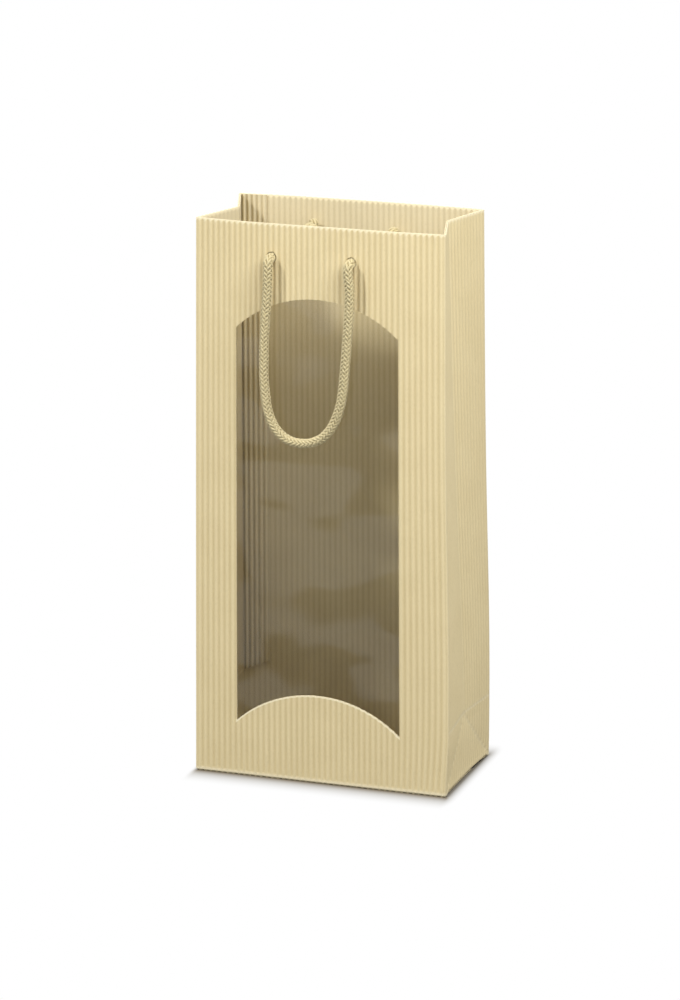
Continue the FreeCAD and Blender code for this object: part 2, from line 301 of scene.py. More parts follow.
def cordFinish(look):
    material, tree, shader = newFinish("braidedCotton", look["roughness"])
    fuzz = addNoise(tree, *look["fuzz"])
    yarn = addRamp(tree, fuzz, [(0.3, look["deep"]), (0.6, look["pale"])])
    # painted shade between the strands: yarn that lies low is darker
    lift = addNode(tree, "ShaderNodeAttribute", attribute_name="lift")
    gap = addRamp(tree, lift.outputs["Fac"], [(0.35, look["gap"]), (0.85, (1, 1, 1))])
    yarn = addMix(tree, 1.0, yarn, gap, "MULTIPLY")
    tree.links.new(yarn, shader.inputs["Base Color"])
    shader.inputs["Sheen Weight"].default_value = look["sheen"]
    shader.inputs["Sheen Roughness"].default_value = look["sheenRoughness"]
    addBump(tree, shader, fuzz, *look["fuzzBump"])
    return material


boardFinishes = [
    boardFinish("flutedBoard", boardLook, "deep", "pale", "valley"),
    cutEdgeFinish(boardLook),
    boardFinish("boardLiner", boardLook, "linerDeep", "linerPale", "linerValleyShade"),
    boardFinish("seamBoard", boardLook, "linerDeep", "linerPale", "seamValleyShade"),
    boardFinish("windowBoard", boardLook, "deep", "pale", "valley", True),
]
boardSlot, cutSlot, linerSlot, seamSlot, windowSlot = range(len(boardFinishes))
braidedCotton = cordFinish(cordLook)
print("finishes made")


# the bag's stance: it has spread a little at the foot, closed a little at the mouth and bellied at one side
stance = {
    "height": 385.0,
    "halfWidth": 90.0,
    "halfDepth": 45.0,
    "footOut": 0.3,  # at each side
    "footSpread": 1.8,  # front and back
    "rimIn": 2.45,  # at each side
    "mouthClose": 0.6,  # front and back
    "belly": 2.3,  # how far the right side stands out, low down
    "bellyHeight": 75.0,
    "bellyReach": 110.0,
    "bellyFoot": 35.0,  # below this height it dies away to the foot
    "rightSide": (40.0, 85.0),  # belly and heel set in between these places
    "heel": 1.4,  # how far the rear right corner of the foot stands out
    "heelHeight": 40.0,
}


def stanceAt(place):
    up = place.z / stance["height"]
    belly = stance["belly"] * math.exp(-((place.z - stance["bellyHeight"]) / stance["bellyReach"]) ** 2)
    belly *= smoothStep(0, stance["bellyFoot"], place.z) * smoothStep(*stance["rightSide"], place.x)
    heel = stance["heel"] * (1 - smoothStep(0, stance["heelHeight"], place.z))
    heel *= smoothStep(0, stance["halfDepth"], place.y) * smoothStep(*stance["rightSide"], place.x)
    wider = stance["footOut"] - (stance["footOut"] + stance["rimIn"]) * up + belly + heel
    deeper = stance["footSpread"] - (stance["footSpread"] + stance["mouthClose"]) * up
    return 1 + wider / stance["halfWidth"], 1 + deeper / stance["halfDepth"]


def settle(place):
    wide, deep = stanceAt(place)
    return Vector((place.x * wide, place.y * deep, place.z))


def unsettle(place):
    wide, deep = stanceAt(place)
    return Vector((place.x / wide, place.y / deep, place.z))


# cords
braid = {
    "diameter": 6.5,
    "strandsEachWay": 8,
    "turnLength": 23.0,  # along the cord, for one full turn of a strand
    "strandRadius": 0.85,
    "middleRadius": 2.2,
    "weave": 0.4,  # how far a strand rises over and dips under
    "floatOver": 4,  # two over and two under
    "coreRadius": 1.85,
    "stray": 0.12,  # radians by which a strand may lie off its place
    "frayShare": (0.3, 1.0),  # how far a strand opens at a frayed tip
    "frayLength": 7.0,
    "coreShort": 8,  # points by which the core ends before a frayed tip
    "merge": 1e-6,  # metres
}


def readLine(points, resolution):
    # one smooth line through the route, read back as points
    curve = bpy.data.curves.new("cordLine", "CURVE")
    curve.dimensions = "3D"
    spline = curve.splines.new("NURBS")
    spline.points.add(len(points) - 1)
    for control, place in zip(spline.points, points):
        control.co = (*(Vector(place) * mm), 1)
    spline.order_u = 3
    spline.use_endpoint_u = True
    spline.resolution_u = resolution
    holder = addObject("cordLine", curve)
    mesh = bpy.data.meshes.new_from_object(holder)
    line = [vertex.co.copy() for vertex in mesh.vertices]
    bpy.data.meshes.remove(mesh)
    bpy.data.objects.remove(holder)
    bpy.data.curves.remove(curve)
    return line


def carryFrames(line):
    # a side direction at each point, carried along without twisting
    tangents = []
    for i in range(len(line)):
        ahead = line[min(i + 1, len(line) - 1)]
        behind = line[max(i - 1, 0)]
        tangents.append((ahead - behind).normalized())
    side = tangents[0].orthogonal().normalized()
    frames = []
    for last, tangent in zip([tangents[0]] + tangents, tangents):
        side = last.rotation_difference(tangent) @ side
        side = (side - tangent * side.dot(tangent)).normalized()
        frames.append((side, tangent.cross(side)))
    return frames


def curveMesh(name, routes, radius):
    curve = bpy.data.curves.new(name, "CURVE")
    curve.dimensions = "3D"
    curve.bevel_depth = radius * mm
    curve.bevel_resolution = 1
    curve.use_fill_caps = True
    for route in routes:
        spline = curve.splines.new("POLY")
        spline.points.add(len(route) - 1)
        for control, place in zip(spline.points, route):
            control.co = (*place, 1)
    holder = addObject(name, curve)
    mesh = bpy.data.meshes.new_from_object(holder)
    bpy.data.objects.remove(holder)
    bpy.data.curves.remove(curve)
    return mesh


def braidCord(name, line, fray=0.0):
    # strands wind both ways round the line and pass over and under each other
    frames = carryFrames(line)
    travel = [0.0]
    for first, second in zip(line, line[1:]):
        travel.append(travel[-1] + (second - first).length / mm)
    count = braid["strandsEachWay"]
    routes = []
    for way in (1, -1):
        for strand in range(count):
            lean = random.uniform(-braid["stray"], braid["stray"])
            spread = random.uniform(*braid["frayShare"])
            route = []
            for place, (side, over), gone in zip(line, frames, travel):
                turn = way * 2 * math.pi * gone / braid["turnLength"]
                turn += 2 * math.pi * strand / count + lean
                crossing = gone / (braid["turnLength"] / (2 * count))
                phase = (2 * strand + way * crossing - 0.5) / braid["floatOver"]
                radius = braid["middleRadius"] + way * braid["weave"] * math.cos(2 * math.pi * phase)
                left = travel[-1] - gone
                radius += fray * spread * (1 - smoothStep(0, braid["frayLength"], left))
                around = side * math.cos(turn) + over * math.sin(turn)
                route.append(place + around * radius * mm)
            routes.append(route)
    bm = bmesh.new()
    coreLine = line[:-braid["coreShort"]] if fray else line
    strands = curveMesh(name, routes, braid["strandRadius"])
    core = curveMesh(name, [coreLine], braid["coreRadius"])
    for mesh in (strands, core):
        bm.from_mesh(mesh)
        bpy.data.meshes.remove(mesh)
    bmesh.ops.remove_doubles(bm, verts=bm.verts, dist=braid["merge"])
    for face in bm.faces:
        face.smooth = True
    tree = KDTree(len(line))
    for i, place in enumerate(line):
        tree.insert(place, i)
    tree.balance()
    # how far each point stands out from the core, which the finish uses to paint shade between the strands
    lift = bm.verts.layers.float.new("lift")
    low, high = braid["coreRadius"] * mm, braid["diameter"] / 2 * mm
    for vertex in bm.verts:
        away = tree.find(vertex.co)[2]
        vertex[lift] = min(1.0, max(0.0, (away - low) / (high - low)))
    return addObject(name, meshFrom(bm, name, [braidedCotton]))


handle = {
    "faceY": stance["halfDepth"],  # outer face of the panel that the handle hangs on
    "holes": {-1: (-33.5, 362.5), 1: (23.5, 362.5)},
    "hinge": (51.0, 362.5),  # out from the bag's middle, and up
    "turn": 1.0,  # a length of cord
    # a leg's points from its hole: across, away from the panel, down
    "elbow": [(0, 0.4, 0.5), (0, 6.2, 0.2), (0.1, 7.2, 6.5)],
    "frontLeft": [
        (-0.6, 6.6, 21.5), (-3.3, 6.2, 53.5), (-3.8, 5.6, 86), (0, 5, 110.5), (11.8, 4.7, 123.2),
    ],
    "frontRight": [
        (-28, 4.7, 124.4), (-13.8, 5, 115.8), (-5, 5.5, 95.5), (-2.4, 6, 69.5), (0, 6.4, 42.5),
        (1.4, 6.5, 19.5),
    ],
    "rearLeft": [
        (-1, 6.5, 22), (-2.5, 6.3, 54), (-3, 5.7, 86), (1.5, 5.1, 109), (14, 4.8, 122),
    ],
    "rearRight": [
        (-27, 4.7, 123.5), (-12.5, 4.9, 115.5), (-2.5, 5.4, 96.5), (2, 5.9, 71), (3, 6.3, 43),
        (1.6, 6.4, 20),
    ],
    "resolution": 32,
}


def handleRoute(end, leftLeg, rightLeg):
    points = []
    elbow = handle["elbow"]
    for side, leg in ((-1, elbow + leftLeg), (1, rightLeg + elbow[::-1])):
        holeX, holeZ = handle["holes"][side]
        for across, away, down in leg:
            points.append(settle(Vector((holeX + across, end * (handle["faceY"] + away), holeZ - down))))
    return points


def hangHandle(name, end, leftLeg, rightLeg, node):
    line = readLine(handleRoute(end, leftLeg, rightLeg), handle["resolution"])
    length = sum((second - first).length for first, second in zip(line, line[1:]))
    cord = braidCord(name, line)
    out, up = handle["hinge"]
    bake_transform(cord)
    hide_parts(node)
    tuple(line[0])
    [tuple(place) for place in line]
    print(name, "length", round(length / mm, 1), "mm")


hangHandle("frontHandle", -1, handle["frontLeft"], handle["frontRight"], "front_handle_cord")
hangHandle("rearHandle", 1, handle["rearLeft"], handle["rearRight"], "rear_handle_cord")


# the folded board
bag = {
    "halfWidth": stance["halfWidth"],
    "halfDepth": stance["halfDepth"],
    "height": stance["height"],
    "flatHalf": 88.4,  # a wide panel is flat to here, then turns into its gusset
    "foldFloor": 1.6,  # the walls start to turn under at this height
    "footFade": 3.0,  # and this far above it the flutes have their full depth
    "scoreHeight": 45.0,  # cross score of a gusset, where its base triangle ends
    "basePinch": 4.5,
    "rimPinch": {1: 12.4, -1: 15.0},
    "leanHeight": 12.0,  # a gusset leans in fully from this height
    "creaseRound": 1.0,
    "scoreRound": 0.03,
    "slipReach": 8.0,  # length over which a gusset runs into its folds
    "bow": 0.9,  # how far a wide panel bellies out
    "rimBow": 0.7,
    "wander": 0.22,
    "wanderAcross": 19.0,
    "wanderUp": 47.0,
    "wanderPhase": (2.1, 0.7),
    "drawFrom": 0.35,  # share of the half width at which a panel starts to bend back to its corners
    "fluteDepth": 0.75,
    "fluteSharp": 1.1,
    "foldInset": 0.25,  # a crushed fold lies this far below the crests
    "waveSheet": 0.35,
    "linerInset": 1.25,
    "liner": 0.28,
    "linerFold": 0.32,  # radius that is left for the liner in a fold
    "linerPrint": 0.13,  # how far the flutes show through the liner
    "foldSteps": 9,
    "underSteps": 5,
    "stepsPerRib": 8,
    "creaseAngle": 50.0,  # degrees from which an edge is shaded sharp
    "rimUpward": 0.9,  # a face that looks up like this, so close to the rim, is cut board
    "rimCut": 0.5,
    "merge": 2e-6,  # metres
}
innerDepth = bag["linerInset"] + bag["linerPrint"] + bag["liner"]  # from the crests to the inner face


def pinchAt(side, z):
    lift = max(0.0, (z - bag["scoreHeight"]) / (bag["height"] - bag["scoreHeight"]))
    return bag["basePinch"] + (bag["rimPinch"][side] - bag["basePinch"]) * lift


def foldAt(side, z):
    # half depth at the corner, radius of the fold, and how steeply the gusset leans in from it
    reach = pinchAt(side, z) * min(1.0, z / bag["scoreHeight"])
    corner = math.sqrt(bag["halfDepth"] ** 2 - reach ** 2)
    lean = pinchAt(side, z) * smoothStep(0, bag["leanHeight"], z) / corner
    radius = (bag["halfWidth"] - bag["flatHalf"]) / (lean + math.sqrt(1 + lean * lean))
    return corner, radius, lean


def bowAt(end, x, z):
    # the wide panels belly out a little, their rims too, and wander
    share = 1 - (x / bag["flatHalf"]) ** 2
    up = z / bag["height"]
    phaseAcross, phaseUp = (phase * end for phase in bag["wanderPhase"])
    wander = bag["wander"] * math.sin(x / bag["wanderAcross"] + phaseAcross)
    wander *= math.sin(z / bag["wanderUp"] + phaseUp)
    return share * (bag["bow"] * math.sin(math.pi * up) + bag["rimBow"] * up ** 3 + wander)


def wideSkin(end, column, z):
    # columns run from -1 to 1 over the flat and on to 2 round each fold
    side = 1 if column > 0 else -1
    corner, radius, lean = foldAt(side, z)
    flat = side * min(1.0, abs(column))
    x = flat * bag["flatHalf"]
    draw = max(0.0, (abs(flat) - bag["drawFrom"]) / (1 - bag["drawFrom"])) ** 2
    y = bag["halfDepth"] - (bag["halfDepth"] - corner) * draw + bowAt(end, x, z)
    turn = max(0.0, abs(column) - 1) * (math.pi / 2 + math.atan(lean))
    normal = Vector((side * math.sin(turn), end * math.cos(turn), 0))
    core = Vector((x, end * (y - radius), z))
    return core, normal, radius


def gussetX(side, y, z, corner):
    pinch = pinchAt(side, z)
    away = math.sqrt(y * y + bag["creaseRound"] ** 2) / corner
    lean = softMin(1 - away, z / bag["scoreHeight"], bag["scoreRound"])
    return bag["halfWidth"] - pinch * max(0.0, lean)


def gussetSkin(side, column, z):
    # columns run from -1 at the front fold to 1 at the rear one
    corner, radius, lean = foldAt(side, z)
    end = 1 if column > 0 else -1
    if abs(column) == 1:
        return wideSkin(end, side * 2, z)
    tilt = math.atan(lean)
    edgeY = corner - radius - radius * math.sin(tilt)
    edgeX = bag["flatHalf"] + radius * math.cos(tilt)
    slip = edgeX - gussetX(side, edgeY, z, corner)

    def outer(y, z):
        near = 1 - smoothStep(0, bag["slipReach"], edgeY - abs(y))
        return gussetX(side, y, z, corner) + slip * near

    y = column * edgeY
    step = 0.2
    alongY = (outer(y + step, z) - outer(y - step, z)) / (2 * step)
    alongZ = (outer(y, z + step) - outer(y, z - step)) / (2 * step)
    normal = Vector((side, -alongY, -alongZ)).normalized()
    return Vector((side * outer(y, z), y, z)) - normal * radius, normal, radius


def tuckUnder(skin, row, inset):
    # a row is a height and the share of the bottom fold that it has turned
    core, normal, radius = skin
    if row[1] > 0:
        angle = row[1] * math.pi / 2
        normal = normal * math.cos(angle) + Vector((0, 0, -math.sin(angle)))
        core = Vector((core.x, core.y, radius))
    return core + normal * (radius - inset)


def wallRows(heights):
    steps = bag["underSteps"]
    under = [(bag["foldFloor"], 1 - i / steps) for i in range(steps)]
    return under + [(height, 0.0) for height in heights]


def evenSteps(low, high, count):
    return [low + (high - low) * i / count for i in range(count + 1)]


def waveAt(share, ribs):
    # 1 in a valley, 0 on a crest, with a valley at both ends
    return (0.5 + 0.5 * math.cos(2 * math.pi * ribs * share)) ** bag["fluteSharp"]


def aboveFoot(z):
    # 0 at the bottom fold, 1 where the flutes have their full depth
    return smoothStep(bag["foldFloor"], bag["foldFloor"] + bag["footFade"], z)


def linerDepth(skin, row, inFold, share, ribs):
    # the flutes print through the liner, and it lies closer to the crests in a fold
    inFold = max(inFold, 1 - aboveFoot(row[0]))
    flat = bag["linerInset"] + bag["linerPrint"] * waveAt(share, ribs)
    tight = min(bag["linerInset"], skin[2] - bag["linerFold"])
    return flat + (tight - flat) * inFold


def sheetMesh(columns, rows, place, thickness, flip, finishes, cutters=()):
    bm = bmesh.new()
    across, up = len(columns) - 1, len(rows) - 1
    bmesh.ops.create_grid(bm, x_segments=across, y_segments=up, size=0.5)
    for vertex in bm.verts:
        column = columns[round((vertex.co.x + 0.5) * across)]
        row = rows[round((vertex.co.y + 0.5) * up)]
        vertex.co = settle(place(column, row)) * mm
    if flip:
        bmesh.ops.reverse_faces(bm, faces=bm.faces)
    bmesh.ops.remove_doubles(bm, verts=bm.verts, dist=bag["merge"])
    mesh = meshFrom(bm, "sheet", finishes)
    holder = addObject("sheet", mesh)
    wall = holder.modifiers.new("wall", "SOLIDIFY")
    wall.thickness = thickness * mm
    wall.offset = -1
    for cutter in cutters:
        cut = holder.modifiers.new("cut", "BOOLEAN")
        cut.operation = "DIFFERENCE"
        cut.solver = "EXACT"
        cut.object = cutter
    shaped = holder.evaluated_get(bpy.context.evaluated_depsgraph_get())
    done = bpy.data.meshes.new_from_object(shaped)
    bpy.data.objects.remove(holder)
    bpy.data.meshes.remove(mesh)
    return done


def makeSheets(columns, rows, crest, liner, flip, cutters=()):
    # the wavy sheet and the liner behind it
    sheets = []
    for place, thickness in ((crest, bag["waveSheet"]), (liner, bag["liner"])):
        sheets.append(sheetMesh(columns, rows, place, thickness, flip, boardFinishes, cutters))
    return sheets


def joinSheets(name, meshes, fluteOf, wearAndHighlightOf, isCut, faceSlot=boardSlot):
    bm = bmesh.new()
    for mesh, slot in zip(meshes, (faceSlot, linerSlot)):
        for face in mesh.polygons:
            if face.material_index == boardSlot:
                face.material_index = slot
        bm.from_mesh(mesh)
        bpy.data.meshes.remove(mesh)
    flute = bm.verts.layers.float.new("flute")
    wearAndHighlight = bm.verts.layers.float.new("wearAndHighlight")
    for vertex in bm.verts:
        place = unsettle(vertex.co / mm)
        vertex[flute] = fluteOf(place)
        vertex[wearAndHighlight] = wearAndHighlightOf(place)
    for face in bm.faces:
        face.smooth = True
        if isCut(face):
            face.material_index = cutSlot
    for edge in bm.edges:
        edge.smooth = edge.calc_face_angle(0) < math.radians(bag["creaseAngle"])
    piece = addObject(name, meshFrom(bm, name, boardFinishes))
    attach(piece, "bag")
    return piece


def rimFace(face):
    height = face.calc_center_median().z / mm
    return face.normal.z > bag["rimUpward"] and height > bag["height"] - bag["rimCut"]


# pale bands: wear across the folds, paler along the foot, painted highlights along the scores, and along the
# rim wear with a painted highlight that runs further down the crests
edgeWearAndHighlight = {
    "rim": 0.75,
    "rimDepth": 3.0,  # on a crest, where the band is a painted highlight
    "rimValley": 1.0,
    "rimRows": 6,
    "rimFull": 0.4,  # the band is at full strength from this far below the edge
    "fold": 0.15,
    "foldMiddle": 0.55,  # place and reach of the wear across a fold
    "foldReach": 0.4,
    "foot": 0.75,
    "footHeights": (1.8, 3.4),
    # painted highlight along the gusset's scores
    "score": 0.14,
    "cross": 0.42,
    "scoreHalf": 0.7,
}


# paler near the foot, and a rim band of wear and painted highlight that reaches further down the crests
def rimWearAndHighlight(z, crest):
    foot = edgeWearAndHighlight["foot"] * (1 - smoothStep(*edgeWearAndHighlight["footHeights"], z))
    depth = edgeWearAndHighlight["rimValley"] + (edgeWearAndHighlight["rimDepth"] - edgeWearAndHighlight["rimValley"]) * crest
    wornAndLit = smoothStep(bag["height"] - depth, bag["height"] - edgeWearAndHighlight["rimFull"], z)
    return max(foot, edgeWearAndHighlight["rim"] * wornAndLit)


def rowsToRim(low, count):
    rim = bag["height"] - edgeWearAndHighlight["rimDepth"]
    return evenSteps(low, rim, count) + evenSteps(rim, bag["height"], edgeWearAndHighlight["rimRows"])[1:]


# the two wide panels
# in the folds the flute valleys' painted shade is laid at an even share
widePanel = {"ribs": 44, "footRows": 3, "rowsUp": 22, "fadeAtFold": 1.6, "foldShadeShare": 0.6}


def wideInset(column, row):
    if abs(column) > 1 or row[1] > 0:
        return bag["foldInset"]
    flute = bag["fluteDepth"] * waveAt((column + 1) / 2, widePanel["ribs"])
    keep = smoothStep(0, widePanel["fadeAtFold"], (1 - abs(column)) * bag["flatHalf"])
    keep *= aboveFoot(row[0])
    return bag["foldInset"] + (flute - bag["foldInset"]) * keep


# the flute pattern, which the finish turns into painted shade in the valleys and a painted highlight on the
# rim's crests
def wideFlute(place):
    if abs(place.x) > bag["flatHalf"]:
        return widePanel["foldShadeShare"]
    return 1 - waveAt((place.x / bag["flatHalf"] + 1) / 2, widePanel["ribs"])


# the rim's wear and painted highlight, and wear across the folds
def wideWearAndHighlight(place):
    turned = (abs(place.x) - bag["flatHalf"]) / (bag["halfWidth"] - bag["flatHalf"])
    fold = edgeWearAndHighlight["fold"] * math.exp(-((turned - edgeWearAndHighlight["foldMiddle"]) / edgeWearAndHighlight["foldReach"]) ** 2)
    return max(rimWearAndHighlight(place.z, wideFlute(place)), fold)


def foldWidePanel(name, end, cutters, node, faceSlot):
    folds = evenSteps(1, 2, bag["foldSteps"])[1:]
    flats = evenSteps(-1, 1, widePanel["ribs"] * bag["stepsPerRib"])
    columns = [-fold for fold in reversed(folds)] + flats + folds
    foot = bag["foldFloor"] + bag["footFade"]
    low = evenSteps(bag["foldFloor"], foot, widePanel["footRows"])
    rows = wallRows(low + rowsToRim(foot, widePanel["rowsUp"])[1:])

    def crest(column, row):
        return tuckUnder(wideSkin(end, column, row[0]), row, wideInset(column, row))

    def liner(column, row):
        skin = wideSkin(end, column, row[0])
        inFold = 1 - smoothStep(0, widePanel["fadeAtFold"], (1 - abs(column)) * bag["flatHalf"])
        return tuckUnder(skin, row, linerDepth(skin, row, inFold, (column + 1) / 2, widePanel["ribs"]))

    sheets = makeSheets(columns, rows, crest, liner, end > 0, cutters)
    piece = joinSheets(name, sheets, wideFlute, wideWearAndHighlight, rimFace, faceSlot)
    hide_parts(node)


punch = {"radius": 3.75, "sides": 32, "through": 12.0}  # a cutter is this deep, half of it outside the panel


def makeCutter(name, bm):
    for vertex in bm.verts:
        vertex.co = settle(vertex.co / mm) * mm
    for face in bm.faces:
        face.material_index = cutSlot
    bmesh.ops.recalc_face_normals(bm, faces=bm.faces)
    return addObject(name, meshFrom(bm, name, boardFinishes))


def windowCutter(shape):
    # two arcs of the same radius, joined by straight sides, pushed through the panel
    radius = shape["radius"]
    reach = 2 * math.asin(shape["half"] / radius)
    depth = bag["halfDepth"] + punch["through"] / 2
    bm = bmesh.new()
    for height in (shape["low"], shape["high"]):
        first = bm.verts.new(Vector((shape["middle"] - shape["half"], -depth, height)) * mm)
        middle = Vector((shape["middle"], -depth, height + shape["rise"] - radius))
        bmesh.ops.spin(bm, geom=[first], cent=middle * mm, axis=(0, 1, 0), angle=reach,
                       steps=shape["arcSteps"])
    loose = [vertex for vertex in bm.verts if len(vertex.link_edges) == 1]
    for side in (-1, 1):
        bm.edges.new([vertex for vertex in loose if vertex.co.x * side > 0])
    made = bmesh.ops.contextual_create(bm, geom=bm.edges[:])
    pushed = bmesh.ops.extrude_face_region(bm, geom=made["faces"])
    moved = [item for item in pushed["geom"] if isinstance(item, bmesh.types.BMVert)]
    bmesh.ops.translate(bm, verts=moved, vec=(0, punch["through"] * mm, 0))
    return makeCutter("windowCutter", bm)


def holeCutter(end, side):
    holeX, holeZ = handle["holes"][side]
    bm = bmesh.new()
    bmesh.ops.create_cone(bm, cap_ends=True, segments=punch["sides"], radius1=punch["radius"] * mm,
                          radius2=punch["radius"] * mm, depth=punch["through"] * mm)
    bmesh.ops.rotate(bm, verts=bm.verts, matrix=Quaternion((1, 0, 0), math.pi / 2).to_matrix())
    bmesh.ops.translate(bm, verts=bm.verts, vec=Vector((holeX, end * bag["halfDepth"], holeZ)) * mm)
    return makeCutter("holeCutter", bm)


frontCutters = [windowCutter(window), holeCutter(-1, -1), holeCutter(-1, 1)]
foldWidePanel("frontPanel", -1, frontCutters, "front_panel", windowSlot)
rearCutters = [holeCutter(1, -1), holeCutter(1, 1)]
foldWidePanel("backPanel", 1, rearCutters, "back_panel", boardSlot)
for cutter in frontCutters + rearCutters:
    bpy.data.objects.remove(cutter)
print("wide panels folded")

# the two gussets
gusset = {
    "ribs": 22,
    "edge": 43.4,
    "rowsUp": 20,
    "fineTop": 50,
    "fineStep": 0.8,
    "creaseFlat": 0.3,  # no flute this close to a crease
    "creaseHalf": 1.8,
    "groove": 0.25,
    "grooveHalf": 0.7,
    "grooveEnd": 4.0,
    "fadeAtFold": 1.6,
    "valleyShadeShare": 0.45,  # how much of the valleys' painted shade shows
    "footLift": 1.8,  # the foot of a gusset is clear of the floor between its folds
    "liftHeight": 10.0,
    "liftEnd": 6.0,
}


def creaseDistance(y, z):
    # to the cross score, the side crease above it or the base triangle's creases below it
    score = bag["scoreHeight"]
    nearest = abs(z - score)
    if z > score:
        nearest = min(nearest, abs(y))
    else:
        nearest = min(nearest, abs(bag["halfDepth"] - abs(y) - z * bag["halfDepth"] / score) / math.sqrt(2))
    return nearest


def foldGusset(name, side, nodes):
    columns = evenSteps(-1, 1, gusset["ribs"] * bag["stepsPerRib"])
    count = int((gusset["fineTop"] - bag["foldFloor"]) / gusset["fineStep"])
    fine = [bag["foldFloor"] + gusset["fineStep"] * i for i in range(count)]
    rows = wallRows(fine + rowsToRim(gusset["fineTop"], gusset["rowsUp"]))

    def inset(column, row):
        if row[1] > 0:
            return bag["foldInset"]
        y = column * gusset["edge"]
        distance = creaseDistance(y, row[0])
        flute = bag["fluteDepth"] * waveAt((column + 1) / 2, gusset["ribs"])
        inside = gusset["edge"] - abs(y)
        keep = smoothStep(gusset["creaseFlat"], gusset["creaseHalf"], distance)
        keep *= smoothStep(0, gusset["fadeAtFold"], inside)
        keep *= aboveFoot(row[0])
        groove = gusset["groove"] * math.exp(-(distance / gusset["grooveHalf"]) ** 2)
        groove *= smoothStep(0, gusset["grooveEnd"], inside)
        return bag["foldInset"] + (flute - bag["foldInset"]) * keep + groove

    def liftFoot(place):
        lift = gusset["footLift"] * (1 - smoothStep(0, gusset["liftHeight"], place.z))
        lift *= smoothStep(0, gusset["liftEnd"], gusset["edge"] - abs(place.y))
        return place + Vector((0, 0, lift))

    def crest(column, row):
        return liftFoot(tuckUnder(gussetSkin(side, column, row[0]), row, inset(column, row)))

    def liner(column, row):
        skin = gussetSkin(side, column, row[0])
        inFold = 1 - smoothStep(0, gusset["fadeAtFold"], (1 - abs(column)) * gusset["edge"])
        depth = linerDepth(skin, row, inFold, (column + 1) / 2, gusset["ribs"])
        return liftFoot(tuckUnder(skin, row, depth))

    # the flute pattern for the valleys' painted shade, eased near the creases
    def fluteOf(place):
        distance = creaseDistance(place.y, place.z)
        keep = gusset["valleyShadeShare"] * smoothStep(gusset["creaseFlat"], gusset["creaseHalf"], distance)
        return 1 - keep * waveAt((place.y / gusset["edge"] + 1) / 2, gusset["ribs"])

    # the rim's wear and painted highlight, and painted highlights along the scores
    def wearAndHighlightOf(place):
        half = edgeWearAndHighlight["scoreHalf"]
        score = edgeWearAndHighlight["score"] * math.exp(-(creaseDistance(place.y, place.z) / half) ** 2)
        cross = edgeWearAndHighlight["cross"] * math.exp(-((place.z - bag["scoreHeight"]) / half) ** 2)
        return max(rimWearAndHighlight(place.z, fluteOf(place)), score, cross)

    sheets = makeSheets(columns, rows, crest, liner, side < 0)
    piece = joinSheets(name, sheets, fluteOf, wearAndHighlightOf, rimFace)
    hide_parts(*nodes)


foldGusset("rightGusset", 1, ["right_gusset_front", "right_gusset_rear", "right_gusset_base"])
foldGusset("leftGusset", -1, ["left_gusset_front", "left_gusset_rear", "left_gusset_base"])
print("gussets folded")


# the glued bottom and the side seam
flap = {
    "half": 88.6,
    "wall": 44.0,
    "overlap": 12.0,  # past the middle
    "ribs": 44,
    "rows": 10,
    "fluteDepth": bag["fluteDepth"],
    "board": 1.6,
    "settle": 25.0,  # the rear flap bends up on to the front one over this length
    # the flute valleys' painted shade, laid at an even share over the flaps and tucks
    "valleyShadeShare": 0.6,
}
tuck = {
    "wall": 87.6,
    "reach": 55.0,
    "wide": 43.0,
    "narrow": 31.0,
    "ribs": 22,
    "rows": 8,
    "fluteDepth": bag["fluteDepth"],
    "floor": 3.2,
}
seam = {
    "wall": -87.1,
    "width": 18.0,
    "low": 45.0,
    "high": 384.8,
    "taper": 8.0,
    "ribs": 5,
    "rows": 16,
    "fluteDepth": 1.0,
    "fade": 0.5,  # how much lighter its valleys' painted shade is away from the corner
}


def evenValleyShade(spot):
    return flap["valleyShadeShare"]


def layBoard(name, board, place, flip, node, fluteOf=evenValleyShade, faceSlot=boardSlot):
    # place gives a point for a share across the flutes, a share along them and a depth in the board
    ribs = board["ribs"]
    columns = evenSteps(0, 1, ribs * bag["stepsPerRib"])
    rows = evenSteps(0, 1, board["rows"])

    def crest(column, row):
        return place(column, row, board["fluteDepth"] * waveAt(column, ribs))

    def liner(column, row):
        return place(column, row, bag["linerInset"] + bag["linerPrint"] * waveAt(column, ribs))

    sheets = makeSheets(columns, rows, crest, liner, flip)
    piece = joinSheets(name, sheets, fluteOf, lambda spot: 0.0, lambda face: False, faceSlot)
    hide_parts(node)


def frontFlapPlace(across, along, inset):
    y = -flap["wall"] + (flap["wall"] + flap["overlap"]) * along
    return Vector((flap["half"] * (2 * across - 1), y, inset))


def rearFlapPlace(across, along, inset):
    reach = (flap["wall"] + flap["overlap"]) * along
    lift = flap["board"] * smoothStep(0, flap["settle"], reach)
    return Vector((flap["half"] * (2 * across - 1), flap["wall"] - reach, lift + inset))


def tuckPlace(side):
    def place(across, along, inset):
        half = tuck["wide"] + (tuck["narrow"] - tuck["wide"]) * along
        x = side * (tuck["wall"] - tuck["reach"] * along)
        return Vector((x, half * (2 * across - 1), tuck["floor"] + inset))

    return place


def seamPlace(across, along, inset):
    # it lies on the back panel, with its flutes to the inside
    x = seam["wall"] + seam["width"] * across
    low = seam["low"] + seam["taper"] * across
    z = low + (seam["high"] - low) * along
    core, normal, radius = wideSkin(1, x / bag["flatHalf"], z)
    return core + normal * (radius - innerDepth - flap["board"] + inset)


# painted shade in the seam flap's valleys, darkest by the corner where the side wall shades them
def seamCornerShade(spot):
    share = (spot.x - seam["wall"]) / seam["width"]
    return 1 - waveAt(share, seam["ribs"]) * (1 - seam["fade"] * smoothStep(0, 1, share))


